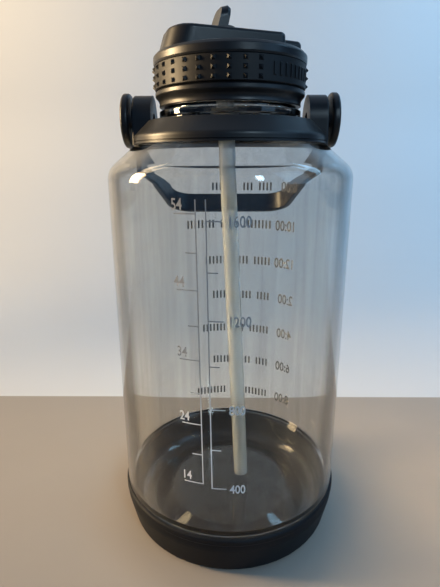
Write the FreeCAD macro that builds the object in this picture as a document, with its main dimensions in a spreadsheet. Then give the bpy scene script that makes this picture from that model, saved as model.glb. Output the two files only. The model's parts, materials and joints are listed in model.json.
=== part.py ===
import FreeCAD, Part
import Sketcher
import math
import os
import re
from FreeCAD import Placement, Rotation, Vector

os.makedirs("parts", exist_ok=True)
doc = FreeCAD.newDocument("WaterBottle")

# Origin: centre of the boot's underside. +Z up, -Y is the side with the volume scale.
# Lengths in millimetres, angles in degrees.
SIZES = {
    # bottle body
    "body_rad": 58.5, "body_wall": 2.4, "base_rad": 55.8, "stand_level": 3.1,
    "punt_rad": 33.0, "punt_rise": 5.0, "heel_rad": 43.0, "floor_wall": 3.1,
    "step_level": 23.2, "cone_start": 189.3, "cone_slope": 0.8391, "bend_round": 9.9,
    "heel_round": 8.0, "neck_root_rad": 34.6, "groove_rad": 31.6, "bead_rad": 33.0,
    "bead_low": 212.4, "bead_high": 215.4, "neck_rad": 28.9, "mouth_rad": 26.7,
    "neck_top": 232.5,
    # thread shared by neck and lid
    "thread_pitch": 5.0, "thread_depth": 1.4, "ridge_base": 2.0, "ridge_crest": 1.1,
    "neck_thread_low": 221.2, "neck_thread_run": 5.0, "lid_thread_run": 3.75,
    # boot
    "boot_rad": 59.0, "boot_foot_rad": 55.4, "boot_top": 22.7, "boot_floor": 2.9,
    "boot_gap": 0.15, "boot_foot_round": 4.0, "boot_band": 3.6, "boot_band_rad": 59.35,
    # collar
    "collar_gap": 0.45, "lip_rad": 45.3, "lip_top": 204.3, "lip_line": 201.8,
    "lip_round": 2.0, "collar_top": 211.0,
    "collar_top_rad": 38.5, "collar_bore": 32.0, "collar_hook": 1.2,
    # handle and its pivots
    "pivot_level": 211.5, "fold_angle": 24.6, "boss_rad": 11.2, "boss_in": 36.0,
    "boss_out": 44.9, "eye_in": 46.4, "strap_thick": 3.6, "strap_broad": 13.0,
    "eye_rad": 12.2, "handle_reach": 115.0, "grip_half": 43.0, "arm_bow": 53.4,
    "arm_bow_at": 32.0, "arm_flare_at": 9.0, "taper_end": 16.0,
    "corner_out": 18.0, "corner_in": 14.4, "pin_rad": 3.5, "pin_fit": 0.06,
    "cap_rad": 9.4, "cap_seat": 1.2, "cap_dome": 0.6,
    # lid
    "lid_turn_angle": 18.0, "skirt_rad": 33.1, "skirt_low": 216.8, "skirt_high": 221.3,
    "waist_rad": 32.3, "waist_level": 218.6,
    "roll_rad": 34.6, "band_low": 223.8, "band_high": 234.1, "band_seat": 33.1,
    "rim_rad": 35.0, "rim_top": 239.1, "rim_in": 31.6, "deck_top": 238.0,
    "deck_under": 235.6, "lid_bore": 30.7, "well_rad": 11.5, "well_low": 226.5,
    "gasket_thick": 2.6, "gasket_in": 26.9, "gasket_out": 30.4,
    # grip band
    "band_rad": 34.7, "dot_base": 2.4, "dot_rise": 1.0, "dot_row_gap": 3.4,
    "dot_step": 10.588, "dot_first": -69.6, "dot_columns": 12, "rib_broad": 1.3,
    "rib_tall": 6.0, "rib_rise": 0.35, "rib_count": 9,
    # hood and spout
    "hood_back": 32.6, "hood_front": 22.4, "hood_half": 14.0, "hood_crown": 248.2,
    "hood_end_top": 247.6, "hood_crown_at": 24.0, "hood_round": 10.0, "hood_draft": 3.2,
    "slot_half": 7.6, "slot_back": 23.0, "spout_at": -3.0, "spout_level": 243.4, "barrel_rad": 6.6,
    "barrel_fit": 0.35, "spout_half": 7.2, "nozzle_reach": 36.4, "nozzle_top": 4.6,
    "nozzle_tip_top": 2.9, "nozzle_under": 3.4, "tab_rise": 15.3, "tab_root": 5.2,
    "tab_thick": 4.4, "tab_lean": 2.7, "tab_back": 5.0,
    "channel_rad": 2.5, "hinge_pin_rad": 1.6, "hinge_pin_half": 11.6,
    # seal, straw and vent
    "seal_rad": 5.2, "seal_low": 231.0, "socket_rad": 6.4, "socket_low": 222.5,
    "socket_lip_rad": 7.6, "straw_rad": 4.0, "straw_wall": 0.7, "straw_top": 229.2,
    "straw_len": 215.0, "straw_lean": 2.75, "straw_dir": 17.0,
    "vent_at": 22.0, "vent_rad": 1.8,
}

sheet = doc.addObject("Spreadsheet::Sheet", "dims")
for row, (alias, value) in enumerate(SIZES.items(), start=1):
    sheet.set("A%d" % row, alias)
    sheet.set("B%d" % row, str(value))
    sheet.setAlias("B%d" % row, alias)
doc.recompute()


def bound(text):
    """An expression with every size name pointed at the sheet."""
    return re.sub(r"(?<![\w.])[a-z]\w*", lambda m: "dims." + m.group(0), str(text))


def num(text):
    value = sheet.evalExpression(bound(text))
    return float(getattr(value, "Value", value))


def plane_of(body, role):
    return next(f for f in body.Origin.OriginFeatures if f.Role == role)


def new_body(label, placement=None):
    body = doc.addObject("PartDesign::Body", label)
    body.Label = label
    if placement is not None:
        body.Placement = placement
    return body


def new_sketch(body, name, role, offset=None):
    sketch = body.newObject("Sketcher::SketchObject", name)
    sketch.AttachmentSupport = (plane_of(body, role), [""])
    sketch.MapMode = "FlatFace"
    if offset is not None:
        sketch.setExpression("AttachmentOffset.Base.z", bound(offset))
    return sketch


def pin_point(sketch, geo, end, axis, text):
    """Holds one coordinate of a point at a size from the sheet, measured from the origin."""
    value = num(text)
    across = axis == "x"
    if abs(value) < 1e-9:
        sketch.addConstraint(Sketcher.Constraint("PointOnObject", geo, end, -2 if across else -1))
        return
    kind = "DistanceX" if across else "DistanceY"
    order = (-1, 1, geo, end) if value > 0 else (geo, end, -1, 1)
    index = sketch.addConstraint(Sketcher.Constraint(kind, *order, abs(value)))
    sketch.setExpression("Constraints[%d]" % index, bound(text if value > 0 else "-(%s)" % text))


def polygon(body, name, role, corners, offset=None):
    """A closed outline whose corners are pairs of expressions."""
    sketch = new_sketch(body, name, role, offset)
    spots = [Vector(num(a), num(b), 0) for a, b in corners]
    count = len(spots)
    for i in range(count):
        sketch.addGeometry(Part.LineSegment(spots[i], spots[(i + 1) % count]), False)
    for i in range(count):
        sketch.addConstraint(Sketcher.Constraint("Coincident", i, 2, (i + 1) % count, 1))
    for i, (a, b) in enumerate(corners):
        pin_point(sketch, i, 1, "x", a)
        pin_point(sketch, i, 1, "y", b)
    return sketch


def circle(body, name, role, rad, at=("0", "0"), offset=None):
    sketch = new_sketch(body, name, role, offset)
    spot = Vector(num(at[0]), num(at[1]), 0)
    sketch.addGeometry(Part.Circle(spot, Vector(0, 0, 1), num(rad)), False)
    pin_point(sketch, 0, 3, "x", at[0])
    pin_point(sketch, 0, 3, "y", at[1])
    index = sketch.addConstraint(Sketcher.Constraint("Radius", 0, num(rad)))
    sketch.setExpression("Constraints[%d]" % index, bound(rad))
    return sketch


def feature(body, kind, name, profile, **props):
    item = body.newObject("PartDesign::" + kind, name)
    item.Profile = profile
    for key, value in props.items():
        if isinstance(value, str) and key in ("Length", "Length2", "Pitch", "Height"):
            item.setExpression(key, bound(value))
        else:
            setattr(item, key, value)
    profile.Visibility = False
    body.Tip = item
    doc.recompute()
    return item


def pad(body, name, profile, length, midplane=False, backward=False):
    side = {"SideType": "Symmetric"} if midplane else {"Reversed": backward}
    return feature(body, "Pad", name, profile, Length=length, **side)


def pocket(body, name, profile, length, midplane=False, backward=False):
    side = {"SideType": "Symmetric"} if midplane else {"Reversed": backward}
    return feature(body, "Pocket", name, profile, Length=length, **side)


def through(body, name, profile):
    return feature(body, "Pocket", name, profile, Length="300", SideType="Symmetric")


def turned(body, name, profile, kind="Revolution"):
    return feature(body, kind, name, profile, ReferenceAxis=(profile, ["V_Axis"]), Angle=360.0)


def helix(body, name, profile, run):
    return feature(body, "AdditiveHelix", name, profile, ReferenceAxis=(profile, ["V_Axis"]),
                   Mode=0, Pitch="thread_pitch", Height=run)


def rounded(body, name, radius, pick):
    """Rounds every edge of the body's tip that pick accepts."""
    base = body.Tip
    edges = ["Edge%d" % i for i, e in enumerate(base.Shape.Edges, start=1) if pick(e)]
    item = body.newObject("PartDesign::Fillet", name)
    item.Base = (base, edges)
    item.setExpression("Radius", bound(radius))
    base.Visibility = False
    body.Tip = item
    doc.recompute()
    return item


def hoop(rad, level, tol=0.02):
    """Accepts full circles about the Z axis with this radius and height."""
    r, z = num(rad), num(level)

    def pick(edge):
        c = edge.Curve
        return (c.TypeId == "Part::GeomCircle" and abs(c.Radius - r) < tol
                and abs(c.Center.z - z) < tol and abs(c.Axis.z) > 0.99)
    return pick


def any_of(*picks):
    return lambda edge: any(p(edge) for p in picks)


def ridge(body, name, root, crest, level):
    """A thread's cross-section: broad at its root and narrow at its crest."""
    half, tip = "ridge_base / 2", "ridge_crest / 2"
    return polygon(body, name, "XZ_Plane", [
        (root, "%s - %s" % (level, half)), (crest, "%s - %s" % (level, tip)),
        (crest, "%s + %s" % (level, tip)), (root, "%s + %s" % (level, half))])


cone_level = "cone_start + (body_rad - %s) * cone_slope"
lid_frame = Placement(Vector(0, 0, 0), Rotation(Vector(0, 0, 1), num("lid_turn_angle")))
nodes = []


# Bottle: straight clear wall, narrowed base for the boot, sloped shoulder, threaded neck.
body = new_body("bottle_body")
inner_cone = "cone_start + (body_rad - (%s)) * cone_slope - body_wall * 1.3054"
body_in = "body_rad - body_wall"
base_in = "base_rad - body_wall"
neck_in = "groove_rad - 3"
profile = polygon(body, "WallProfile", "XZ_Plane", [
    ("0", "stand_level + punt_rise"),
    ("punt_rad", "stand_level + punt_rise - 0.6"),
    ("heel_rad", "stand_level"),
    ("base_rad", "stand_level"),
    ("base_rad", "step_level"),
    ("body_rad", "step_level + 0.6"),
    ("body_rad", "cone_start"),
    ("neck_root_rad", cone_level % "neck_root_rad"),
    ("groove_rad", cone_level % "neck_root_rad"),
    ("groove_rad", "bead_low - 0.2"),
    ("bead_rad", "bead_low + 0.3"),
    ("bead_rad", "bead_high - 0.4"),
    ("bead_rad - 0.8", "bead_high"),
    ("neck_rad", "bead_high + 0.3"),
    ("neck_rad", "neck_top"),
    ("mouth_rad", "neck_top"),
    ("mouth_rad", "bead_high - 1"),
    (neck_in, inner_cone % neck_in),
    (body_in, inner_cone % body_in),
    (body_in, "step_level + 3"),
    (base_in, "step_level - 1"),
    (base_in, "stand_level + floor_wall"),
    ("heel_rad + 1", "stand_level + floor_wall"),
    ("punt_rad + 1", "stand_level + punt_rise + floor_wall - 0.6"),
    ("0", "stand_level + punt_rise + floor_wall"),
])
turned(body, "Wall", profile)
rounded(body, "ShoulderBend", "bend_round", hoop("body_rad", "cone_start"))
rounded(body, "ShoulderBendInside", "bend_round - body_wall",
        hoop(body_in, inner_cone % body_in))
rounded(body, "Heel", "heel_round", hoop("base_rad", "stand_level"))
rounded(body, "HeelInside", "heel_round - 1.5", hoop(base_in, "stand_level + floor_wall"))
rounded(body, "FloorRing", "3", any_of(
    hoop("heel_rad + 1", "stand_level + floor_wall"),
    hoop("punt_rad + 1", "stand_level + punt_rise + floor_wall - 0.6"),
    hoop("heel_rad", "stand_level")))
rounded(body, "MouthRim", "0.7", any_of(hoop("neck_rad", "neck_top"),
                                        hoop("mouth_rad", "neck_top")))
helix(body, "NeckThread", ridge(body, "NeckRidge", "neck_rad - 0.4",
                                "neck_rad + thread_depth", "neck_thread_low"),
      "neck_thread_run")
nodes.append(body)


# Boot: soft cup stretched over the base.
boot = new_body("base_boot")
boot_in = "base_rad + boot_gap"
profile = polygon(boot, "CupProfile", "XZ_Plane", [
    ("0", "0"), ("boot_foot_rad", "0"), ("boot_rad", "16"), ("boot_rad", "boot_top - boot_band"),
    ("boot_band_rad", "boot_top - boot_band + 0.5"), ("boot_band_rad", "boot_top"),
    (boot_in, "boot_top"), (boot_in, "boot_floor"), ("0", "boot_floor")])
turned(boot, "Cup", profile)
rounded(boot, "Foot", "boot_foot_round", hoop("boot_foot_rad", "0"))
rounded(boot, "Lip", "1.3", any_of(hoop("boot_band_rad", "boot_top"), hoop(boot_in, "boot_top")))
rounded(boot, "Flank", "8", hoop("boot_rad", "16"))
rounded(boot, "FloorCorner", "heel_round - 0.2", hoop(boot_in, "boot_floor"))
nodes.append(boot)


# Collar: sloped ring hooked under the neck's bead, with a boss on each side for the handle.
collar = new_body("handle_collar")
seat = "cone_start + (body_rad - (%s)) * cone_slope + collar_gap"
ring = polygon(collar, "RingProfile", "XZ_Plane", [
    ("lip_rad", seat % "lip_rad"), ("lip_rad", "lip_line - 0.25"),
    ("lip_rad - 0.6", "lip_line - 0.1"), ("lip_rad - 0.6", "lip_line + 0.1"),
    ("lip_rad", "lip_line + 0.25"), ("lip_rad", "lip_top"),
    ("collar_top_rad", "collar_top"), ("collar_bore", "collar_top"),
    ("collar_bore", "collar_top - collar_hook"),
    ("neck_root_rad + 0.4", "%s" % (seat % "neck_root_rad + 0.4"))])
turned(collar, "Ring", ring)
rounded(collar, "RingEdges", "0.7", hoop("collar_top_rad", "collar_top"))
rounded(collar, "LipRound", "lip_round", hoop("lip_rad", "lip_top"))
for side, sign in (("Right", ""), ("Left", "-")):
    inward = "%sboss_in" % sign
    tombstone = polygon(collar, "BossProfile" + side, "YZ_Plane", [
        ("-boss_rad", "lip_top - 6"), ("boss_rad", "lip_top - 6"),
        ("boss_rad", "pivot_level"), ("-boss_rad", "pivot_level")], offset=inward)
    pad(collar, "BossBlock" + side, tombstone, "boss_out - boss_in", backward=sign == "-")
    crown = circle(collar, "BossCircle" + side, "YZ_Plane", "boss_rad", ("0", "pivot_level"),
                   offset=inward)
    pad(collar, "BossRound" + side, crown, "boss_out - boss_in", backward=sign == "-")
slope_clear = polygon(collar, "SlopeClear", "XZ_Plane", [
    ("0", "lip_top - 20"), ("60", "lip_top - 20"), ("60", seat % "60"),
    ("neck_root_rad - 3", seat % "neck_root_rad - 3"), ("0", seat % "neck_root_rad - 3")])
turned(collar, "SlopeCut", slope_clear, "Groove")
through(collar, "PinBore", circle(collar, "PinBoreCircle", "YZ_Plane", "pin_rad + pin_fit",
                                  ("0", "pivot_level")))


def boss_edge(edge):
    c = edge.Curve
    return (c.TypeId == "Part::GeomCircle" and abs(c.Radius - num("boss_rad")) < 0.02
            and abs(c.Axis.x) > 0.99 and abs(c.Center.x) > num("boss_out") - 0.1)


rounded(collar, "BossEdges", "1", boss_edge)
nodes.append(collar)


# Carry handle: bent strap with a round eye on each arm. Built flat, then folded back.
fold = Placement(Vector(0, 0, num("pivot_level")),
                 Rotation(Vector(1, 0, 0), -num("fold_angle")))
handle = new_body("carry_handle", fold)
eye_out = "eye_in + strap_thick"


def hoop_half(inset):
    """One side of the strap's outline, from behind the eye out to the grip's corner."""
    return [("%s - %s" % (eye_out, inset), "-eye_rad - 2"),
            ("%s - %s" % (eye_out, inset), "arm_flare_at"),
            ("arm_bow - %s" % inset, "arm_bow_at"),
            ("grip_half - %s * 0.98" % inset, "handle_reach - %s" % inset)]


outer, inner = hoop_half("0"), hoop_half("strap_thick")
mirrored = [("-(%s)" % x, y) for x, y in outer]
mirrored_inner = [("-(%s)" % x, y) for x, y in inner]
loop = outer + mirrored[::-1] + mirrored_inner + inner[::-1]
pad(handle, "Strap", polygon(handle, "StrapOutline", "XY_Plane", loop), "2 * eye_rad + 4",
    midplane=True)


def upright_at(spot):
    """Accepts straight edges across the strap's breadth at this corner of its outline."""
    x, y = num(spot[0]), num(spot[1])

    def pick(edge):
        mid = edge.CenterOfMass
        return (edge.Curve.TypeId == "Part::GeomLine"
                and math.hypot(abs(mid.x) - x, mid.y - y) < 0.05)
    return pick


rounded(handle, "CornersOut", "corner_out", upright_at(outer[3]))
rounded(handle, "CornersIn", "corner_in", upright_at(inner[3]))
rounded(handle, "BowOut", "60", upright_at(outer[2]))
rounded(handle, "BowIn", "60 - strap_thick", upright_at(inner[2]))
rounded(handle, "FlareOut", "40", upright_at(outer[1]))
rounded(handle, "FlareIn", "40 + strap_thick", upright_at(inner[1]))


def side_trim():
    """What the strap's side profile leaves out: a round eye that tapers to the strap's breadth."""
    sketch = new_sketch(handle, "SideProfile", "YZ_Plane")
    rad, half = num("eye_rad"), num("strap_broad / 2")
    near, far = num("taper_end"), num("handle_reach + 2")
    slope = math.atan2(rad - half, near)
    turn = math.pi / 2 - slope
    touch = Vector(rad * math.cos(turn), rad * math.sin(turn), 0)
    spots = [touch, Vector(near, half, 0), Vector(far, half, 0), Vector(far, -half, 0),
             Vector(near, -half, 0), Vector(touch.x, -touch.y, 0)]
    for i in range(5):
        sketch.addGeometry(Part.LineSegment(spots[i], spots[i + 1]), False)
    disc = Part.Circle(Vector(0, 0, 0), Vector(0, 0, 1), rad)
    sketch.addGeometry(Part.ArcOfCircle(disc, turn, 2 * math.pi - turn), False)
    for i in range(4):
        sketch.addConstraint(Sketcher.Constraint("Coincident", i, 2, i + 1, 1))
    sketch.addConstraint(Sketcher.Constraint("Tangent", 5, 1, 0, 1))
    sketch.addConstraint(Sketcher.Constraint("Tangent", 4, 2, 5, 2))
    sketch.addConstraint(Sketcher.Constraint("Coincident", 5, 3, -1, 1))
    index = sketch.addConstraint(Sketcher.Constraint("Radius", 5, rad))
    sketch.setExpression("Constraints[%d]" % index, bound("eye_rad"))
    for geo, x, y in ((1, "taper_end", "strap_broad / 2"), (2, "handle_reach + 2", None),
                      (3, "handle_reach + 2", "-strap_broad / 2"), (4, "taper_end", None)):
        pin_point(sketch, geo, 1, "x", x)
        if y is not None:
            pin_point(sketch, geo, 1, "y", y)
    sketch.addConstraint(Sketcher.Constraint("Horizontal", 1))
    sketch.addConstraint(Sketcher.Constraint("Horizontal", 3))
    # A frame well outside the strap, so that the cut takes all but the profile.
    frame = ((-40, -40), (160, -40), (160, 40), (-40, 40))
    for i in range(4):
        here, there = frame[i], frame[(i + 1) % 4]
        sketch.addGeometry(Part.LineSegment(Vector(*here, 0), Vector(*there, 0)), False)
    for i in range(4):
        sketch.addConstraint(Sketcher.Constraint("Block", 6 + i))
    return sketch


through(handle, "SideTrim", side_trim())


def taper_corner(edge):
    """The side profile's corners, where the taper meets the even strap."""
    mid, box = edge.CenterOfMass, edge.BoundBox
    return (math.hypot(mid.y - num("taper_end"), abs(mid.z) - num("strap_broad / 2")) < 0.1
            and box.YMax - box.YMin < 0.5)


rounded(handle, "TaperEnds", "25", taper_corner)


def rim_edge(edge):
    """The strap's and eyes' long edges, which leaves out those across the thickness."""
    box = edge.BoundBox
    return box.YMax - box.YMin > 1 or box.XMax - box.XMin > num("strap_thick") + 1


rounded(handle, "StrapEdges", "1.2", rim_edge)
through(handle, "PinHole", circle(handle, "PinHoleCircle", "YZ_Plane", "pin_rad + 0.02"))
for side, sign in (("Right", ""), ("Left", "-")):
    face = circle(handle, "CapSeat" + side, "YZ_Plane", "cap_rad + 0.05",
                  offset="%s(%s - cap_seat)" % (sign, eye_out))
    pocket(handle, "CapRecess" + side, face, "5", backward=sign == "")
nodes.append(handle)


# Pivot pins run in the collar's bosses; domed caps close the handle's eyes.
for side, turn in (("left", -90), ("right", 90)):
    across = Placement(Vector(0, 0, num("pivot_level")), Rotation(Vector(0, 1, 0), turn))
    pin = new_body("pivot_pin_" + side, across)
    shaft = polygon(pin, "PinProfile", "XZ_Plane", [
        ("0", "boss_in + 1"), ("pin_rad - 0.6", "boss_in + 1"),
        ("pin_rad", "boss_in + 1.6"), ("pin_rad", "%s - cap_seat - 0.05" % eye_out),
        ("0", "%s - cap_seat - 0.05" % eye_out)])
    turned(pin, "Pin", shaft)
    nodes.append(pin)
    cap = new_body("pivot_cap_" + side, across)
    dome = polygon(cap, "CapProfile", "XZ_Plane", [
        ("0", "%s - cap_seat + 0.02" % eye_out), ("cap_rad", "%s - cap_seat + 0.02" % eye_out),
        ("cap_rad", "%s - 0.2" % eye_out), ("cap_rad * 0.8", "%s + cap_dome * 0.5" % eye_out),
        ("cap_rad * 0.45", "%s + cap_dome * 0.9" % eye_out),
        ("0", "%s + cap_dome" % eye_out)])
    turned(cap, "Cap", dome)
    nodes.append(cap)


# Lid: screw cap with a rolled skirt, a seat for the grip band, a rim bead and a centre well.
lid = new_body("lid_cap", lid_frame)
profile = polygon(lid, "ShellProfile", "XZ_Plane", [
    ("lid_bore", "skirt_low"), ("skirt_rad", "skirt_low"), ("waist_rad", "waist_level"),
    ("roll_rad", "skirt_high"), ("roll_rad", "band_low - 0.9"),
    ("roll_rad - 0.9", "band_low"), ("band_seat", "band_low"), ("band_seat", "band_high"),
    ("rim_rad - 0.3", "band_high"), ("rim_rad", "band_high + 0.8"),
    ("rim_rad", "rim_top - 1.6"), ("rim_rad - 1.4", "rim_top - 0.2"),
    ("rim_in + 0.6", "rim_top"), ("rim_in - 0.4", "deck_top"), ("0", "deck_top"),
    ("0", "deck_under"), ("lid_bore", "deck_under")])
turned(lid, "Shell", profile)
well = circle(lid, "WellCircle", "XY_Plane", "well_rad", ("spout_at", "0"), offset="well_low")
pad(lid, "Well", well, "deck_top - well_low")
barrel_room = circle(lid, "BarrelRoomCircle", "XZ_Plane", "barrel_rad + barrel_fit",
                     ("spout_at", "spout_level"))
pocket(lid, "BarrelRoom", barrel_room, "2 * slot_half", midplane=True)
seal_hole = circle(lid, "SealHoleCircle", "XY_Plane", "seal_rad + 0.03", ("spout_at", "0"),
                   offset="seal_low - 0.05")
pocket(lid, "SealHole", seal_hole, "20", backward=True)
flow = circle(lid, "FlowCircle", "XY_Plane", "channel_rad + 1", ("spout_at", "0"),
              offset="well_low - 5")
pocket(lid, "FlowHole", flow, "20", backward=True)
socket_hole = circle(lid, "SocketHoleCircle", "XY_Plane", "socket_rad + 0.03",
                     ("spout_at", "0"), offset="well_low - 5")
pocket(lid, "SocketHole", socket_hole, "5 + seal_low - well_low - 1", backward=True)
vent_hole = circle(lid, "VentCircle", "XY_Plane", "vent_rad + 0.05", ("-vent_at", "0"),
                   offset="deck_under - 5")
pocket(lid, "VentHole", vent_hole, "20", backward=True)
rounded(lid, "RimRound", "0.8", any_of(
    hoop("rim_rad", "rim_top - 1.6"), hoop("rim_rad - 1.4", "rim_top - 0.2"),
    hoop("rim_in + 0.6", "rim_top")))
rounded(lid, "Waist", "3", hoop("waist_rad", "waist_level"))
rounded(lid, "RollRound", "0.8", hoop("roll_rad", "skirt_high"))
rounded(lid, "SkirtRound", "0.4", hoop("skirt_rad", "skirt_low"))
helix(lid, "LidThread", ridge(lid, "LidRidge", "lid_bore + 0.4", "lid_bore - thread_depth",
                              "neck_thread_low - thread_pitch / 2"), "lid_thread_run")
nodes.append(lid)


# Grip band: ring with rows of pyramid studs and two short ribbed panels.
band = new_body("grip_band", Placement(Vector(0, 0, 0), Rotation(Vector(0, 0, 1), 0)))
profile = polygon(band, "BandProfile", "XZ_Plane", [
    ("band_seat + 0.03", "band_low + 0.05"), ("band_rad - 0.3", "band_low + 0.05"),
    ("band_rad", "band_low + 0.4"), ("band_rad", "band_high - 0.4"),
    ("band_rad - 0.3", "band_high - 0.05"), ("band_seat + 0.03", "band_high - 0.05")])
turned(band, "Band", profile)


def stud(name, angle, level, broad, tall, rise, tip):
    """A tapered block standing out of the band at this angle from +X."""
    item = band.newObject("PartDesign::AdditiveWedge", name)
    sizes = {"Xmin": "-(%s) / 2" % broad, "Xmax": "(%s) / 2" % broad,
             "Zmin": "-(%s) / 2" % tall, "Zmax": "(%s) / 2" % tall,
             "X2min": "-(%s) * %s / 2" % (broad, tip), "X2max": "(%s) * %s / 2" % (broad, tip),
             "Z2min": "-(%s) * %s / 2" % (tall, tip), "Z2max": "(%s) * %s / 2" % (tall, tip),
             "Ymin": "band_rad - 0.3", "Ymax": "band_rad + %s" % rise}
    for key, text in sizes.items():
        item.setExpression(key, bound(text))
    item.AttachmentOffset = Placement(Vector(0, 0, num(level)),
                                      Rotation(Vector(0, 0, 1), angle - 90))
    item.AttachmentSupport = (plane_of(band, "XY_Plane"), [""])
    item.MapMode = "FlatFace"
    band.Tip = item
    doc.recompute()
    return item


def around(name, items, angle, count):
    ring_axis = next(f for f in band.Origin.OriginFeatures if f.Role == "Z_Axis")
    item = band.newObject("PartDesign::PolarPattern", name)
    item.Originals = items
    item.Axis = (ring_axis, [""])
    item.Reversed = True
    item.Angle = angle
    item.Occurrences = count
    band.Tip = item
    doc.recompute()
    return item


middle = "(band_low + band_high) / 2"
columns = int(num("dot_columns"))
for half in (0, 1):
    first = num("dot_first") - half * 180
    rows = [stud("Stud%d%d" % (half, i), first, "%s + %d * dot_row_gap" % (middle, i - 1),
                 "dot_base", "dot_base", "dot_rise", "0.12") for i in range(3)]
    around("Studs%d" % half, rows, num("dot_step") * (columns - 1), columns)
    rib = stud("Rib%d" % half, first + num("dot_step") * 5, middle, "rib_broad", "rib_tall",
               "rib_rise", "0.75")
    ribs = int(num("rib_count"))
    around("Ribs%d" % half, [rib], num("dot_step") * (ribs - 1) / 2, ribs)
nodes.append(band)


# Gasket under the deck, sealing on the mouth's rim.
gasket = new_body("lid_gasket")
level = "deck_under - 0.1"
profile = polygon(gasket, "GasketProfile", "XZ_Plane", [
    ("gasket_in", "%s - gasket_thick + 0.5" % level),
    ("gasket_in + 0.5", "%s - gasket_thick" % level),
    ("gasket_out - 0.5", "%s - gasket_thick" % level),
    ("gasket_out", "%s - gasket_thick + 0.5" % level),
    ("gasket_out", level), ("gasket_in", level)])
turned(gasket, "Gasket", profile)
nodes.append(gasket)


# Hood: long block across the lid, split by the slot in which the spout turns.
hood = new_body("spout_hood", lid_frame)
side = polygon(hood, "HoodSide", "XZ_Plane", [
    ("-hood_back", "deck_top + 0.05"), ("hood_front", "deck_top + 0.05"),
    ("hood_front - 0.5", "hood_end_top"), ("-hood_crown_at", "hood_crown"),
    ("-hood_back + hood_draft", "hood_crown - 0.5")])
pad(hood, "HoodBlock", side, "2 * hood_half", midplane=True)


def standing(low, high):
    """Accepts the block's near-upright corner edges between two x positions."""
    def pick(edge):
        box = edge.BoundBox
        return (box.ZMax - box.ZMin > 5 and box.YMax - box.YMin < 0.1
                and low < edge.CenterOfMass.x < high)
    return pick


rounded(hood, "BackCorners", "hood_round", standing(-40, -25))
rounded(hood, "FrontCorners", "3", standing(15, 25))


def crown_edge(edge):
    box = edge.BoundBox
    return box.ZMin > num("hood_end_top") - 0.2 and box.ZMax - box.ZMin < 5


rounded(hood, "CrownEdges", "1.8", crown_edge)
slot = polygon(hood, "SlotOutline", "XY_Plane", [
    ("-slot_back", "-slot_half"), ("hood_front + 2", "-slot_half"),
    ("hood_front + 2", "slot_half"), ("-slot_back", "slot_half")], offset="deck_top - 1")
pocket(hood, "Slot", slot, "30", backward=True)
notch = polygon(hood, "RimNotch", "XZ_Plane", [
    ("rim_in - 0.7", "deck_top - 2"), ("rim_rad + 3", "deck_top - 2"),
    ("rim_rad + 3", "rim_top + 0.15"), ("rim_in - 0.7", "rim_top + 0.15")])
turned(hood, "RimClear", notch, "Groove")
pin_hole = circle(hood, "HingeHoleCircle", "XZ_Plane", "hinge_pin_rad + 0.02",
                  ("spout_at", "spout_level"))
pocket(hood, "HingeHole", pin_hole, "2 * hinge_pin_half + 0.2", midplane=True)
rounded(hood, "SlotBack", "3", lambda e: (
    e.Curve.TypeId == "Part::GeomLine" and abs(e.CenterOfMass.x + num("slot_back")) < 0.02
    and e.BoundBox.ZMax - e.BoundBox.ZMin > 5))
nodes.append(hood)


# Spout: barrel on the hinge pin, oval nozzle lying forward, finger tab standing up.
at_hinge = Placement(Vector(num("spout_at"), 0, num("spout_level")), Rotation())
spout = new_body("spout", lid_frame.multiply(at_hinge))
pad(spout, "Barrel", circle(spout, "BarrelCircle", "XZ_Plane", "barrel_rad"),
    "2 * spout_half", midplane=True)
nozzle = polygon(spout, "NozzleSide", "XZ_Plane", [
    ("0", "-nozzle_under"), ("nozzle_reach", "-nozzle_under"),
    ("nozzle_reach", "nozzle_tip_top"), ("0", "nozzle_top")])
pad(spout, "Nozzle", nozzle, "2 * spout_half - 2", midplane=True)


def nozzle_edge(edge):
    """The nozzle's long edges and the edges round its end face."""
    box = edge.BoundBox
    end = box.XMin > num("nozzle_reach") - 0.01
    return end or (edge.Curve.TypeId == "Part::GeomLine" and box.XMax > 30)


rounded(spout, "NozzleEdges", "2.2", nozzle_edge)
tab = polygon(spout, "TabSide", "XZ_Plane", [
    ("-tab_back", "0"), ("-0.4", "0"), ("-0.4", "tab_root"), ("tab_lean - 0.9", "tab_rise - 0.9"),
    ("tab_lean - 2.1", "tab_rise"), ("tab_lean - tab_thick - 0.6", "tab_rise - 0.8"),
    ("-tab_back", "tab_root")])
pad(spout, "Tab", tab, "2 * spout_half - 0.6", midplane=True)


def tab_corner(edge):
    """The tab's top corners, running through its thickness."""
    box = edge.BoundBox
    mid = edge.CenterOfMass
    return (abs(abs(mid.y) - num("spout_half - 0.3")) < 0.05 and box.YMax - box.YMin < 0.05
            and box.ZMin > num("tab_rise") - 1)


rounded(spout, "TabCorners", "4.5", tab_corner)
through(spout, "HingeBore", circle(spout, "HingeBoreCircle", "XZ_Plane",
                                   "hinge_pin_rad + 0.05"))
channel = circle(spout, "ChannelCircle", "YZ_Plane", "channel_rad")
through(spout, "Channel", channel)
nodes.append(spout)


# Hinge pin, held in the hood's cheeks.
pin = new_body("spout_pin", lid_frame.multiply(at_hinge))
pad(pin, "HingePin", circle(pin, "HingePinCircle", "XZ_Plane", "hinge_pin_rad"),
    "2 * hinge_pin_half", midplane=True)
nodes.append(pin)


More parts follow.
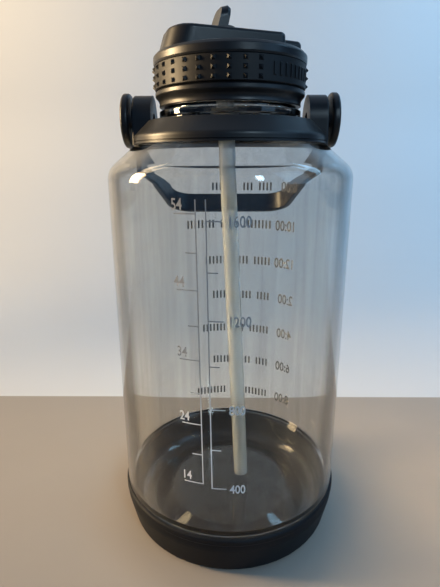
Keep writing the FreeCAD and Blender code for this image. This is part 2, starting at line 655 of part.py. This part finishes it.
# Saddle seal: short sleeve whose top is hollowed to the barrel.
over_well = lid_frame.multiply(Placement(Vector(num("spout_at"), 0, 0), Rotation()))
seal = new_body("spout_seal", over_well)
profile = polygon(seal, "SealProfile", "XZ_Plane", [
    ("channel_rad", "seal_low"), ("seal_rad", "seal_low"), ("seal_rad", "deck_top"),
    ("channel_rad", "deck_top")])
turned(seal, "Sleeve", profile)
saddle = circle(seal, "SaddleCircle", "XZ_Plane", "barrel_rad + 0.06", ("0", "spout_level"))
through(seal, "Saddle", saddle)
nodes.append(seal)


# Straw and the soft socket that holds it under the lid.
lean = Rotation(Vector(0, 0, 1), num("straw_dir")).multiply(
    Rotation(Vector(0, 1, 0), -num("straw_lean")))
top_centre = lid_frame.multVec(Vector(num("spout_at"), 0, 0))
top_centre.z = num("straw_top")
straw = new_body("straw", Placement(top_centre, lean))
profile = polygon(straw, "StrawProfile", "XZ_Plane", [
    ("straw_rad - straw_wall", "-straw_len"), ("straw_rad", "-straw_len"),
    ("straw_rad", "0"), ("straw_rad - straw_wall", "0")])
turned(straw, "Tube", profile)
nodes.append(straw)

sleeve = new_body("straw_socket", over_well)
profile = polygon(sleeve, "SocketProfile", "XZ_Plane", [
    ("0", "socket_low"), ("socket_lip_rad", "socket_low"),
    ("socket_lip_rad", "well_low - 0.1"), ("socket_rad", "well_low - 0.1"),
    ("socket_rad", "seal_low - 1.05"), ("0", "seal_low - 1.05")])
turned(sleeve, "Socket", profile)
sleeve_bore = circle(sleeve, "StrawBoreCircle", "XY_Plane", "straw_rad + 0.02")
sleeve_bore.AttachmentOffset = over_well.inverse().multiply(Placement(top_centre, lean))
through(sleeve, "StrawBore", sleeve_bore)
nodes.append(sleeve)


# Vent: small mushroom valve in the deck.
vent = new_body("vent_valve", lid_frame.multiply(Placement(Vector(-num("vent_at"), 0, 0),
                                                            Rotation())))
profile = polygon(vent, "VentProfile", "XZ_Plane", [
    ("0", "deck_under - 2.2"), ("vent_rad + 0.7", "deck_under - 0.9"),
    ("vent_rad + 0.7", "deck_under - 0.05"), ("vent_rad", "deck_under - 0.05"),
    ("vent_rad", "deck_top"), ("0", "deck_top")])
turned(vent, "Valve", profile)
nodes.append(vent)


doc.recompute()
for item in doc.Objects:
    if any(word in item.State for word in ("Invalid", "Error")):
        raise RuntimeError("%s: %s" % (item.Name, item.State))
for node in nodes:
    shape = node.Shape
    if shape.isNull() or not shape.isValid():
        raise RuntimeError("bad shape: " + node.Label)
    if len(shape.Solids) != 1:
        raise RuntimeError("%s has %d solids" % (node.Label, len(shape.Solids)))
    shape.exportStep("parts/%s.step" % node.Label)
    box = shape.BoundBox
    print("%-14s vol %9.0f  x %7.1f %7.1f  y %7.1f %7.1f  z %7.1f %7.1f" % (
        node.Label, shape.Volume, box.XMin, box.XMax, box.YMin, box.YMax, box.ZMin, box.ZMax))
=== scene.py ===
"""Looks for a large drinking bottle: tinted clear body, black boot, collar, handle and straw lid.

Metres. The frame's origin is the centre of the boot's underside, +Z up, -Y towards the camera.
"""
import json
import math

import bmesh
import bpy
from mathutils import Matrix, Vector


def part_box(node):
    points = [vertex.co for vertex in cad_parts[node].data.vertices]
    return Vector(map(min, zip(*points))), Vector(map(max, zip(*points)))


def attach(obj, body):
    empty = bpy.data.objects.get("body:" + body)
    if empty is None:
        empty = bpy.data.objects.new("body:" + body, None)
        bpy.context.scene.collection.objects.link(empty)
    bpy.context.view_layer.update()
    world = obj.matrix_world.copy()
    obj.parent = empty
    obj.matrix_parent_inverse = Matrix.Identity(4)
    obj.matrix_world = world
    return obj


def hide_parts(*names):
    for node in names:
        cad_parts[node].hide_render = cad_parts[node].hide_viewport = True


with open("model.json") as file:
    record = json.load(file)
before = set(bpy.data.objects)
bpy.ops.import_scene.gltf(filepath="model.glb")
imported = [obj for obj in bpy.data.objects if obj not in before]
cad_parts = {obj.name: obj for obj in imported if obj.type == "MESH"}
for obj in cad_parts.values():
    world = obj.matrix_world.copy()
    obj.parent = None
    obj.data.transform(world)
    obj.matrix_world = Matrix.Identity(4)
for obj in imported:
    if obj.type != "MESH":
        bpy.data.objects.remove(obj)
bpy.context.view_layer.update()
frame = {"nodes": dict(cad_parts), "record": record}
nodes = frame["nodes"]

MM = 0.001
BODY_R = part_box("bottle_body")[1][0]        # outer radius of the clear wall
INK_LIFT = 0.06 * MM                        # ink stands this far off the wall
MIX_FAC, MIX_A, MIX_B, MIX_OUT = 0, 6, 7, 2  # sockets of a colour Mix node


# ---------------------------------------------------------------- materials

def principled(name, colour, roughness, **settings):
    """A new material and its node tree, with plain values on the Principled shader."""
    mat = bpy.data.materials.new(name)
    mat.use_nodes = True
    tree = mat.node_tree
    shader = tree.nodes["Principled BSDF"]
    shader.inputs["Base Color"].default_value = (*colour, 1)
    shader.inputs["Roughness"].default_value = roughness
    for key, value in settings.items():
        shader.inputs[key.replace("_", " ")].default_value = value
    return mat, tree, shader


def add(tree, kind, **values):
    """A new node, with its own settings and the values of its inputs given by name."""
    node = tree.nodes.new(kind)
    for key, value in values.items():
        if hasattr(node, key):
            setattr(node, key, value)
        else:
            node.inputs[key.replace("_", " ")].default_value = value
    return node


def place(tree):
    """Object-space position, so that patterns keep their size in metres."""
    return add(tree, "ShaderNodeTexCoord").outputs["Object"]


def noise(tree, scale, detail=3.0, roughness=0.55):
    """A noise from 0 to 1, its scale in waves to the metre."""
    node = add(tree, "ShaderNodeTexNoise", Scale=scale, Detail=detail, Roughness=roughness)
    tree.links.new(place(tree), node.inputs["Vector"])
    return node.outputs["Fac"]


def ramp(tree, source, low, high, out_low, out_high):
    """Maps source from low..high to out_low..out_high, clamped."""
    node = add(tree, "ShaderNodeMapRange")
    for key, value in zip(("From Min", "From Max", "To Min", "To Max"),
                          (low, high, out_low, out_high)):
        node.inputs[key].default_value = value
    tree.links.new(source, node.inputs["Value"])
    return node.outputs["Result"]


def mix_colour(tree, fac, first, second):
    """The first colour where fac is 0, the second where it is 1."""
    node = add(tree, "ShaderNodeMix", data_type="RGBA")
    node.inputs[MIX_A].default_value = (*first, 1)
    node.inputs[MIX_B].default_value = (*second, 1)
    tree.links.new(fac, node.inputs[MIX_FAC])
    return node.outputs[MIX_OUT]


def bump(tree, shader, height, strength, distance):
    """Roughens the shader's surface by a height pattern."""
    node = add(tree, "ShaderNodeBump", Strength=strength, Distance=distance)
    tree.links.new(height, node.inputs["Height"])
    tree.links.new(node.outputs["Normal"], shader.inputs["Normal"])


def moulded_black(name, colour, lighter, rough, grain, depth, shine=0.5):
    """Black moulded plastic or rubber: fine grain, uneven gloss, faint lighter handling marks."""
    patch_scale, smoother, duller = 55.0, 0.05, 0.07
    mat, tree, shader = principled(name, colour, rough, Specular_IOR_Level=shine)
    patches = noise(tree, patch_scale, 4.0)
    fine = noise(tree, grain, 2.0)
    marks = ramp(tree, patches, 0.42, 0.72, 0.0, 1.0)
    tree.links.new(mix_colour(tree, marks, colour, lighter), shader.inputs["Base Color"])
    tree.links.new(ramp(tree, patches, 0.3, 0.7, rough - smoother, rough + duller),
                   shader.inputs["Roughness"])
    bump(tree, shader, fine, 0.35, depth)
    return mat


SMOKE = (0.845, 0.85, 0.835)            # what one wall lets through, seen squarely
SMOKE_DEEP = (0.16, 0.155, 0.15)        # and seen edge-on


def clear_wall():
    """Smoke-tinted clear plastic: darker towards its outline, with faint upright flow lines."""
    flow_scale, flow_upright = 260.0, 0.04
    dark_band, bright_rim, streaks = 0.85, -0.32, 0.14
    mat, tree, glass = principled("tinted_clear", SMOKE, 0.0, IOR=1.5, Transmission_Weight=1.0)
    stretch = add(tree, "ShaderNodeMapping")
    stretch.inputs["Scale"].default_value = (1.0, 1.0, flow_upright)
    tree.links.new(place(tree), stretch.inputs["Vector"])
    flow = add(tree, "ShaderNodeTexNoise", Scale=flow_scale, Detail=3.0, Roughness=0.6)
    tree.links.new(stretch.outputs["Vector"], flow.inputs["Vector"])
    edge = add(tree, "ShaderNodeLayerWeight", Blend=0.5)
    parts = (ramp(tree, edge.outputs["Facing"], 0.58, 0.72, 0.0, dark_band),
             ramp(tree, edge.outputs["Facing"], 0.74, 0.86, 0.0, bright_rim),
             ramp(tree, flow.outputs["Fac"], 0.35, 0.65, 0.0, streaks))
    depth = parts[0]
    for part in parts[1:]:
        total = add(tree, "ShaderNodeMath", operation="ADD", use_clamp=True)
        tree.links.new(depth, total.inputs[0])
        tree.links.new(part, total.inputs[1])
        depth = total.outputs["Value"]
    tree.links.new(mix_colour(tree, depth, SMOKE, SMOKE_DEEP), glass.inputs["Base Color"])
    bump(tree, glass, flow.outputs["Fac"], 0.022, 0.1 * MM)
    let_lamps_in(tree, glass)
    return mat


def let_lamps_in(tree, glass):
    """Lets lamplight through the wall as a plain tint, in place of slow and noisy caustics."""
    lamp_tint = tuple(math.sqrt(c) for c in SMOKE)
    open_to_lamps = add(tree, "ShaderNodeBsdfTransparent", Color=(*lamp_tint, 1))
    rays = add(tree, "ShaderNodeLightPath")
    pick = add(tree, "ShaderNodeMixShader")
    tree.links.new(rays.outputs["Is Shadow Ray"], pick.inputs["Fac"])
    tree.links.new(glass.outputs["BSDF"], pick.inputs[1])
    tree.links.new(open_to_lamps.outputs["BSDF"], pick.inputs[2])
    tree.links.new(pick.outputs["Shader"], tree.nodes["Material Output"].inputs["Surface"])


def milky(name, colour, transmission, rough, haze):
    """Translucent plastic or silicone, slightly uneven in tone."""
    mat, tree, shader = principled(name, colour, rough, IOR=1.45,
                                   Transmission_Weight=transmission,
                                   Subsurface_Weight=haze, Subsurface_Scale=3 * MM,
                                   Subsurface_Radius=(1.0, 1.0, 1.0))
    darker = tuple(c * 0.93 for c in colour)
    tree.links.new(mix_colour(tree, noise(tree, 90.0, 2.0), darker, colour),
                   shader.inputs["Base Color"])
    bump(tree, shader, noise(tree, 700.0, 2.0), 0.1, 0.03 * MM)
    return mat


def brushed_steel():
    """Grey steel of uneven gloss."""
    mat, tree, shader = principled("pin_metal", (0.55, 0.55, 0.56), 0.32, Metallic=1.0)
    tree.links.new(ramp(tree, noise(tree, 900.0, 3.0), 0.3, 0.7, 0.26, 0.42),
                   shader.inputs["Roughness"])
    return mat


def ink(name, colour, shift_colour, shift_from, shift_to):
    """Screen-printed ink with worn speckles, whose colour shifts towards a second colour from one
    height to another.
    """
    speckle, most_shift = 0.3, 0.8
    mat, tree, shader = principled(name, colour, 0.5)
    height = add(tree, "ShaderNodeSeparateXYZ")
    tree.links.new(place(tree), height.inputs["Vector"])
    speckle_and_shift = add(tree, "ShaderNodeMath", operation="MULTIPLY_ADD")
    tree.links.new(noise(tree, 1500.0, 3.0), speckle_and_shift.inputs[0])
    speckle_and_shift.inputs[1].default_value = speckle
    # how far the colour shifts with height; on the white scale this is painted shade, darker
    # higher up
    tree.links.new(ramp(tree, height.outputs["Z"], shift_from, shift_to, 0.0, most_shift),
                   speckle_and_shift.inputs[2])
    tree.links.new(mix_colour(tree, speckle_and_shift.outputs["Value"], colour, shift_colour),
                   shader.inputs["Base Color"])
    return mat


MATERIALS = {
    "tinted_clear": clear_wall(),
    "boot_rubber": moulded_black("boot_rubber", (0.0035, 0.005, 0.008), (0.008, 0.010, 0.014),
                                 0.55, 2600.0, 0.06 * MM, 0.22),
    "black_plastic": moulded_black("black_plastic", (0.004, 0.005, 0.007),
                                   (0.009, 0.010, 0.012), 0.36, 3200.0, 0.025 * MM),
    "grip_rubber": moulded_black("grip_rubber", (0.005, 0.0055, 0.007), (0.012, 0.0125, 0.014),
                                 0.52, 2800.0, 0.05 * MM, 0.32),
    "spout_plastic": moulded_black("spout_plastic", (0.004, 0.005, 0.007),
                                   (0.010, 0.011, 0.013), 0.33, 3200.0, 0.02 * MM),
    "seal_rubber": milky("seal_rubber", (0.72, 0.72, 0.70), 0.2, 0.45, 0.25),
    "straw_plastic": milky("straw_plastic", (0.86, 0.92, 0.955), 0.82, 0.12, 1.0),
    "pin_metal": brushed_steel(),
}
slots = {s["node"]: s["material_slot"] for s in frame["record"]["subparts"]}
for name, node in nodes.items():
    node.data.materials.clear()
    node.data.materials.append(MATERIALS[slots[name]])


# ---------------------------------------------------------------- clear wall

TINY = 0.2          # rounding of the outline's otherwise sharp corners, in mm
GUARD = 0.25        # extra points this far beyond each rounding keep long faces flat-shaded
ARC_STEP = 6        # degrees between the points of a rounding
AROUND = 224        # flat faces round the wall
NECK_R = 28.9       # outer radius of the neck, in mm

# Outline of the wall in mm: radius, height, rounding. Outside from the foot up, then inside down.
WALL = (
    (0, 8.1, 0), (33.0, 7.5, 3), (43.0, 3.1, 3), (55.8, 3.1, 8), (55.8, 23.2, 0.4),
    (58.5, 23.8, 0.4), (58.5, 189.3, 9.9), (34.6, 209.35, TINY), (31.6, 209.35, TINY),
    (31.6, 212.2, TINY), (33.0, 212.7, TINY), (33.0, 215.0, 0.4), (32.0, 215.4, TINY),
    (NECK_R, 215.7, TINY), (NECK_R, 232.5, 0.7), (26.7, 232.5, 0.7), (26.7, 214.4, TINY),
    (28.6, 211.26, TINY), (56.1, 188.18, 7.5), (56.1, 26.2, 0.8), (53.4, 22.2, 0.8),
    (53.4, 6.2, 6.5), (44.0, 6.2, 3), (34.0, 10.6, 3), (0, 11.2, 0))

# Ridge of thread on the neck, in mm.
THREAD_R = 30.3             # radius of its crest
THREAD_FOOT, THREAD_CREST = 1.0, 0.55   # half its height at the neck and at the crest
THREAD_START, THREAD_TURNS, THREAD_PITCH = 221.2, 1.0, 5.0
THREAD_STEPS = 96           # steps to the turn
THREAD_FADE = 10            # steps over which each end fades away


def rounded_outline(corners):
    """Points along an outline whose corners are (radius, height, rounding)."""
    spots = [Vector(corners[0][:2])]
    for before, (r, z, rounding), after in zip(corners, corners[1:], corners[2:]):
        here = Vector((r, z))
        back = (Vector(before[:2]) - here).normalized()
        ahead = (Vector(after[:2]) - here).normalized()
        half = back.angle(ahead) / 2
        start = here + back * rounding / math.tan(half)
        end = here + ahead * rounding / math.tan(half)
        centre = here + (back + ahead).normalized() * rounding / math.sin(half)
        turn = (start - centre).angle_signed(end - centre)
        steps = max(3, math.ceil(abs(math.degrees(turn)) / ARC_STEP))
        spots.append(start + back * GUARD)
        for k in range(steps + 1):
            arm = start - centre
            arm.rotate(Matrix.Rotation(-turn * k / steps, 2))
            spots.append(centre + arm)
        spots.append(end + ahead * GUARD)
    spots.append(Vector(corners[-1][:2]))
    return spots


def object_from(name, mesh, material):
    """A smooth-shaded object made of a bmesh, which it uses up."""
    data = bpy.data.meshes.new(name)
    mesh.to_mesh(data)
    mesh.free()
    for face in data.polygons:
        face.use_smooth = True
    piece = bpy.data.objects.new(name, data)
    bpy.context.scene.collection.objects.link(piece)
    data.materials.append(material)
    return piece


def piece_from(name, mesh, material, body):
    """A piece of the bottle that rides on one of its moving bodies."""
    bmesh.ops.recalc_face_normals(mesh, faces=mesh.faces)
    piece = object_from(name, mesh, material)
    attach(piece, body)
    return piece


def lathe(outline, around):
    """A closed shell turned about the Z axis from an outline that starts and ends on the axis."""
    mesh = bmesh.new()
    ends = [mesh.verts.new((0, 0, outline[i].y * MM)) for i in (0, -1)]
    rings = []
    for spot in outline[1:-1]:
        rings.append([mesh.verts.new((spot.x * MM * math.cos(a), spot.x * MM * math.sin(a),
                                      spot.y * MM))
                      for a in (2 * math.pi * i / around for i in range(around))])
    for low, high in zip(rings, rings[1:]):
        for i in range(around):
            j = (i + 1) % around
            mesh.faces.new((low[i], low[j], high[j], high[i]))
    for end, ring in zip(ends, (rings[0], rings[-1])):
        for i in range(around):
            mesh.faces.new((end, ring[i], ring[(i + 1) % around]))
    return mesh


def neck_thread(start, turns, pitch):
    """One ridge round the neck that fades in and out at its ends."""
    mesh = bmesh.new()
    steps = int(turns * THREAD_STEPS)
    section = ((NECK_R, -THREAD_FOOT), (THREAD_R, -THREAD_CREST),
               (THREAD_R, THREAD_CREST), (NECK_R, THREAD_FOOT))
    rows = []
    for i in range(steps + 1):
        a = 2 * math.pi * turns * i / steps
        fade = min(1.0, i / THREAD_FADE, (steps - i) / THREAD_FADE)
        rows.append([mesh.verts.new((
            (NECK_R + (r - NECK_R) * fade) * MM * math.cos(a),
            (NECK_R + (r - NECK_R) * fade) * MM * math.sin(a),
            (start + pitch * turns * i / steps + z * fade) * MM)) for r, z in section])
    for one, two in zip(rows, rows[1:]):
        for k in range(len(section) - 1):
            mesh.faces.new((one[k], one[k + 1], two[k + 1], two[k]))
    return mesh


wall = piece_from("clear_wall", lathe(rounded_outline(WALL), AROUND),
                  MATERIALS["tinted_clear"], "bottle")
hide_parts("bottle_body")
ridge = piece_from("neck_thread", neck_thread(THREAD_START, THREAD_TURNS, THREAD_PITCH),
                   MATERIALS["tinted_clear"], "bottle")


# ---------------------------------------------------------------- ink on the wall

CAP_SHARE = 0.72    # a numeral's height as a share of its font size
NARROW = 0.76       # numerals are condensed
BOLD = 0.02         # and a little heavier, as a share of their height
LINE = 0.5 * MM     # width of a printed line
DIGIT = 4.5 * MM    # height of the scales' numerals
BAR_STEP = 1.0 * MM     # a bar bends with the wall at least this often


def on_wall(angle, level, across, up):
    """Point on the wall. angle is from the front towards +X as seen from outside, in degrees."""
    r = BODY_R + INK_LIFT
    a = math.radians(angle) + across / r
    return Vector((r * math.sin(a), -r * math.cos(a), level + up))


def ink_bar(mesh, angle, level, left, right, low, high):
    """A rectangle of ink that follows the wall, from left to right and low to high."""
    steps = max(1, math.ceil((right - left) / BAR_STEP))
    rows = []
    for z in (low, high):
        rows.append([mesh.verts.new(on_wall(angle, level, left + (right - left) * i / steps, z))
                     for i in range(steps + 1)])
    for i in range(steps):
        mesh.faces.new((rows[0][i], rows[0][i + 1], rows[1][i + 1], rows[1][i]))


def ink_digits(mesh, angle, level, text, height, align="LEFT"):
    """Numerals laid on the wall, their middle at this level."""
    curve = bpy.data.curves.new("digits", "FONT")
    curve.body = text
    curve.size = height / CAP_SHARE
    curve.align_x = align
    curve.offset = BOLD * height
    curve.resolution_u = 4
    holder = bpy.data.objects.new("digits", curve)
    bpy.context.scene.collection.objects.link(holder)
    flat = holder.to_mesh()
    verts = [mesh.verts.new(on_wall(angle, level, v.co.x * NARROW, v.co.y - height / 2))
             for v in flat.vertices]
    for face in flat.polygons:
        mesh.faces.new([verts[i] for i in face.vertices])
    holder.to_mesh_clear()
    bpy.data.objects.remove(holder)
    bpy.data.curves.remove(curve)


def slant(mesh, foot, slope):
    """Slants a print: each point moves round the wall by slope times its height above foot."""
    for vert in mesh.verts:
        vert.co.rotate(Matrix.Rotation(slope * (vert.co.z - foot) / BODY_R, 3, "Z"))


# Front scale: ounces to the left of their line, millilitres to the right of theirs.
# A mark's level is its foot plus its rise for each ounce or millilitre above the lowest.
OZ_LOWEST, OZ_HIGHEST, OZ_STEP, OZ_FOOT, OZ_RISE = 14, 54, 5, 52.9, 3.03
ML_LOWEST, ML_HIGHEST, ML_STEP, ML_FOOT, ML_RISE = 400, 1600, 200, 51.0, 0.1003
OZ_LEVEL = {mark: (OZ_FOOT + (mark - OZ_LOWEST) * OZ_RISE) * MM
            for mark in range(OZ_LOWEST, OZ_HIGHEST + 1, OZ_STEP)}
ML_LEVEL = {mark: (ML_FOOT + (mark - ML_LOWEST) * ML_RISE) * MM
            for mark in range(ML_LOWEST, ML_HIGHEST + 1, ML_STEP)}
OZ_ANGLE, ML_ANGLE = -12.0, -8.0
OZ_TICK, OZ_MINOR, OZ_DIGITS = 9.0 * MM, 4.6 * MM, -5.3 * MM
ML_TICK, ML_MINOR, ML_DIGITS = 6.5 * MM, 4.4 * MM, 8.0 * MM
OZ_DIGIT_LIFT = 3.6 * MM        # ounce numerals stand on their marks
SCALE_TOP = 179.5 * MM
SCALE_SLANT = -0.011
SCALE_SHADE = 88 * MM, 108 * MM  # painted shade: the ink turns from white to grey between these heights, darker above them


def front_scale():
    """Two upright lines with marks and numerals."""
    mesh = bmesh.new()
    ink_bar(mesh, OZ_ANGLE, 0, -LINE / 2, LINE / 2, OZ_LEVEL[OZ_LOWEST] - LINE / 2, SCALE_TOP)
    ink_bar(mesh, ML_ANGLE, 0, -LINE / 2, LINE / 2, ML_LEVEL[ML_LOWEST] - LINE / 2, SCALE_TOP)
    for mark, level in OZ_LEVEL.items():
        major = (mark - OZ_LOWEST) % (2 * OZ_STEP) == 0
        ink_bar(mesh, OZ_ANGLE, level, -(OZ_TICK if major else OZ_MINOR), 0,
                -LINE / 2, LINE / 2)
        if major:
            ink_digits(mesh, OZ_ANGLE + math.degrees(OZ_DIGITS / BODY_R),
                       level + OZ_DIGIT_LIFT, str(mark), DIGIT, "RIGHT")
    for mark, level in ML_LEVEL.items():
        major = (mark - ML_LOWEST) % (2 * ML_STEP) == 0
        ink_bar(mesh, ML_ANGLE, level, 0, ML_TICK if major else ML_MINOR, -LINE / 2, LINE / 2)
        if major:
            ink_digits(mesh, ML_ANGLE + math.degrees(ML_DIGITS / BODY_R), level, str(mark),
                       DIGIT)
    slant(mesh, OZ_LEVEL[OZ_LOWEST], SCALE_SLANT)
    return mesh


# Rear schedule: hours with groups of plain ticks beside them, read from behind.
SCHEDULE = (("8:00", (4, 3, 7)), ("10:00", (8, 5, 8)), ("12:00", (5, 5, 6)),
            ("2:00", (4, 3, 7)), ("4:00", (6, 3, 8)), ("6:00", (4, 4, 6)), ("8:00", (8, 2, 9)))
REAR_ANGLE = 135.5
TOP_ROW, ROW_GAP = 178.5 * MM, 23.2 * MM
HOUR_TALL, HOUR_ROOM = 6.3 * MM, 18.0 * MM
TICK_TALL, TICK_WIDE, TICK_STEP, GROUP_GAP = 5.0 * MM, 1.1 * MM, 2.4 * MM, 3.0 * MM
REAR_SHIFT = 40 * MM, 160 * MM   # the ink turns a little lighter between these heights


def rear_schedule():
    """Rows of an hour and its groups of ticks, the first row on top."""
    mesh = bmesh.new()
    for row, (hour, groups) in enumerate(SCHEDULE):
        level = TOP_ROW - row * ROW_GAP
        ink_digits(mesh, REAR_ANGLE, level, hour, HOUR_TALL)
        start = HOUR_ROOM
        for ticks in groups:
            for _ in range(ticks):
                ink_bar(mesh, REAR_ANGLE, level, start, start + TICK_WIDE,
                        -TICK_TALL / 2, TICK_TALL / 2)
                start += TICK_STEP
            start += GROUP_GAP
    return mesh


# white scale ink, darker higher up by painted shade
white_ink = ink("white_ink", (0.92, 0.93, 0.94), (0.27, 0.28, 0.30), *SCALE_SHADE)
piece_from("scale_ink", front_scale(), white_ink, "bottle")
grey_ink = ink("grey_ink", (0.09, 0.092, 0.1), (0.13, 0.132, 0.14), *REAR_SHIFT)
piece_from("schedule_ink", rear_schedule(), grey_ink, "bottle")


# ---------------------------------------------------------------- stage, lights, camera

TABLE_BACK = 0.115      # the darker pale floor ends here, and the white backdrop starts
TABLE_BLUR = 0.001      # over this distance


def stage_paint():
    """Pale warm floor under the bottle, white beyond the line behind it."""
    mat, tree, shader = principled("stage_paint", (0.7, 0.7, 0.7), 0.55)
    split = add(tree, "ShaderNodeSeparateXYZ")
    tree.links.new(place(tree), split.inputs["Vector"])
    beyond = ramp(tree, split.outputs["Y"], TABLE_BACK, TABLE_BACK + TABLE_BLUR, 0, 1)
    floor = mix_colour(tree, noise(tree, 9.0, 4.0), (0.40, 0.345, 0.29), (0.46, 0.40, 0.34))
    both = add(tree, "ShaderNodeMix", data_type="RGBA")
    both.inputs[MIX_B].default_value = (0.78, 0.78, 0.78, 1)
    tree.links.new(floor, both.inputs[MIX_A])
    tree.links.new(beyond, both.inputs[MIX_FAC])
    tree.links.new(both.outputs[MIX_OUT], shader.inputs["Base Color"])
    return mat


def sweep():
    """A pale floor that curves up into a backdrop."""
    wide, near, far, bend, high, steps = 3.0, -1.2, 0.95, 0.35, 2.4, 16
    outline = [(near, 0.0), (far - bend, 0.0)]
    outline += [(far - bend + bend * math.sin(a), bend - bend * math.cos(a))
                for a in (math.pi / 2 * i / steps for i in range(1, steps + 1))]
    outline.append((far, high))
    mesh = bmesh.new()
    sides = [[mesh.verts.new((x, y, z)) for y, z in outline] for x in (-wide, wide)]
    for i in range(len(outline) - 1):
        mesh.faces.new((sides[0][i], sides[1][i], sides[1][i + 1], sides[0][i + 1]))
    piece = object_from("sweep", mesh, stage_paint())


def lamp(name, spot, aim, size, power, colour, spread=180):
    """A rectangular lamp at a spot, turned towards aim. Its power is in watts."""
    data = bpy.data.lights.new(name, "AREA")
    data.shape = "RECTANGLE"
    data.size, data.size_y = size
    data.energy = power
    data.color = colour
    data.spread = math.radians(spread)
    piece = bpy.data.objects.new(name, data)
    piece.location = spot
    piece.rotation_euler = (Vector(aim) - Vector(spot)).to_track_quat("-Z", "Y").to_euler()
    piece.visible_camera = False
    bpy.context.scene.collection.objects.link(piece)


sweep()
MIDDLE = (0.0, 0.0, 0.13)
lamp("warm_left", (-0.80, 0.02, 0.40), (0, 0, 0.20), (0.16, 0.40), 1.2, (1.0, 0.72, 0.40),
     spread=44)
lamp("cool_right", (0.80, -0.45, 0.55), MIDDLE, (0.45, 0.8), 1.4, (0.34, 0.64, 1.0))
lamp("window", (0.42, -0.85, 0.62), (0, -0.05, 0.06), (0.10, 0.34), 0.28, (0.62, 0.84, 1.0),
     spread=60)
lamp("top", (0.0, 0.25, 1.2), MIDDLE, (1.0, 1.0), 0.9, (0.70, 0.84, 1.0))
lamp("backdrop_left", (-0.80, 0.15, 0.85), (-0.85, 0.95, 0.35), (0.7, 0.5), 9.2,
     (1.0, 0.75, 0.43))
lamp("backdrop_right", (0.80, 0.15, 0.85), (0.85, 0.95, 0.35), (0.7, 0.5), 7.4,
     (0.35, 0.67, 1.0))

world = bpy.data.worlds.new("studio")
world.use_nodes = True
air = world.node_tree.nodes["Background"]
air.inputs["Color"].default_value = (0.30, 0.55, 1.0, 1)
air.inputs["Strength"].default_value = 0.17
bpy.context.scene.world = world
bpy.context.scene.view_settings.view_transform = "Standard"

# The camera is close, a little above the lid's shoulder, and tilted down.
EYE = Vector((-1.7, -228.5, 193.3)) * MM
PITCH, YAW, ROLL = (math.radians(a) for a in (16.42, -0.84, -0.24))
SENSOR, LENS = 36.0, 27.6
NEAREST = 10 * MM       # nothing closer than this is drawn


def add_camera():
    """The camera at EYE, pitched down, turned and rolled by the angles above."""
    ahead = Vector((math.sin(YAW) * math.cos(PITCH), math.cos(YAW) * math.cos(PITCH),
                    -math.sin(PITCH)))
    right = Vector((math.cos(YAW), -math.sin(YAW), 0))
    up = right.cross(ahead)
    right, up = (right * math.cos(ROLL) + up * math.sin(ROLL),
                 up * math.cos(ROLL) - right * math.sin(ROLL))
    data = bpy.data.cameras.new("camera")
    data.sensor_fit = "AUTO"
    data.sensor_width = SENSOR
    data.lens = LENS
    data.clip_start = NEAREST
    camera = bpy.data.objects.new("camera", data)
    camera.matrix_world = Matrix((
        (right.x, up.x, -ahead.x, EYE.x), (right.y, up.y, -ahead.y, EYE.y),
        (right.z, up.z, -ahead.z, EYE.z), (0, 0, 0, 1)))
    bpy.context.scene.collection.objects.link(camera)
    bpy.context.scene.camera = camera


add_camera()
